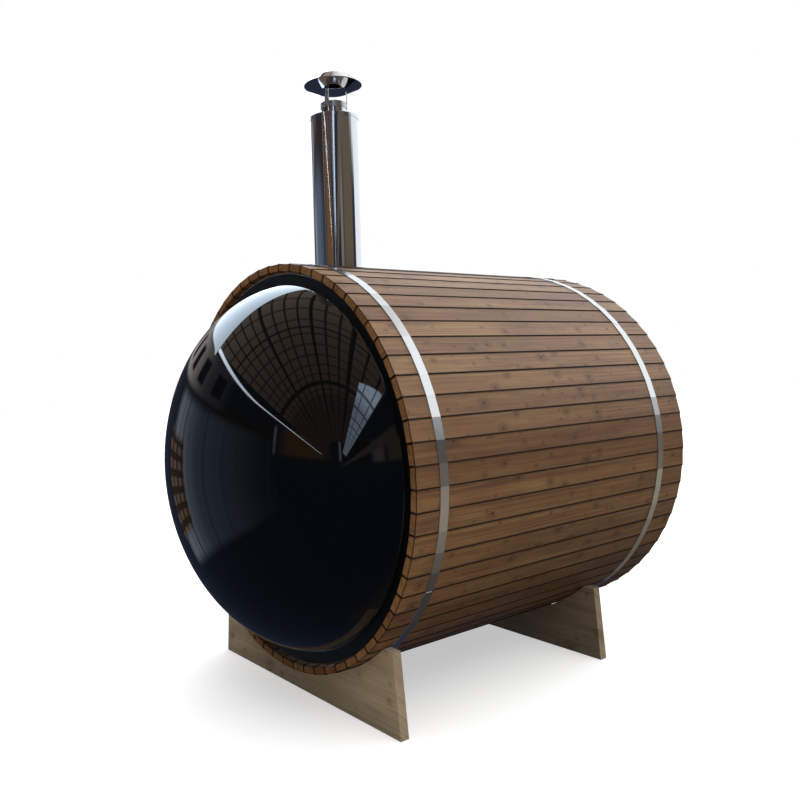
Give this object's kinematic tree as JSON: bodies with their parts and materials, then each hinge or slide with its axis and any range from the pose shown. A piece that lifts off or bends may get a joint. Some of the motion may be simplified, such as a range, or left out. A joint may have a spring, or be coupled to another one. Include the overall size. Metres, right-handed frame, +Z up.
{
  "type": "barrel sauna",
  "caption": "Timber barrel sauna with a dark domed end window, two steel straps, a round flue with a rain cap, a framed end door and two sawn cradles.",
  "frame": {"origin": "on the ground under the middle of the overall length, on the barrel's centre plane", "axes": "+X to the right seen from the domed window end, +Y along the barrel from the window to the door, +Z up"},
  "size_m": [1.8534, 2.2566, 2.882],
  "materials": {
    "thermo_wood": "thermally treated softwood, brown, fine grain, oiled",
    "cradle_pine": "bare planed pine, greyish beige with knots",
    "bubble_acrylic": "dark smoked acrylic, glossy",
    "door_glass": "smoked tempered glass",
    "rubber_seal": "black foam rubber",
    "insulation": "mineral wool",
    "steel_bands": "bright stainless strap",
    "flue_steel": "bright rolled stainless sheet",
    "fittings_steel": "brushed stainless"
  },
  "bodies": {
    "root": {"bottom_staves": "thermo_wood", "bubble_flange": "bubble_acrylic", "bubble_window": "bubble_acrylic", "cap_legs": "flue_steel", "ceiling_rosette": "flue_steel", "door_frame": "thermo_wood", "door_glass": "door_glass", "door_handles": "thermo_wood", "door_hinges": "fittings_steel", "door_leaf": "thermo_wood", "end_wall_bottom": "thermo_wood", "end_wall_left": "thermo_wood", "end_wall_right": "thermo_wood", "end_wall_top": "thermo_wood", "flue_insulation": "insulation", "flue_pipe": "flue_steel", "flue_shell": "flue_steel", "flue_top_ring": "flue_steel", "front_band": "steel_bands", "front_cradle_ears": "cradle_pine", "front_cradle_plank": "cradle_pine", "left_haunch_staves": "thermo_wood", "left_lower_staves": "thermo_wood", "left_shoulder_staves": "thermo_wood", "left_upper_staves": "thermo_wood", "rain_cap": "flue_steel", "rear_band": "steel_bands", "rear_cradle_ears": "cradle_pine", "rear_cradle_plank": "cradle_pine", "right_haunch_staves": "thermo_wood", "right_lower_staves": "thermo_wood", "right_shoulder_staves": "thermo_wood", "right_upper_staves": "thermo_wood", "roof_flashing": "flue_steel", "roof_staves": "thermo_wood", "window_ring": "thermo_wood", "window_seal": "rubber_seal"}
  },
  "joints": []
}
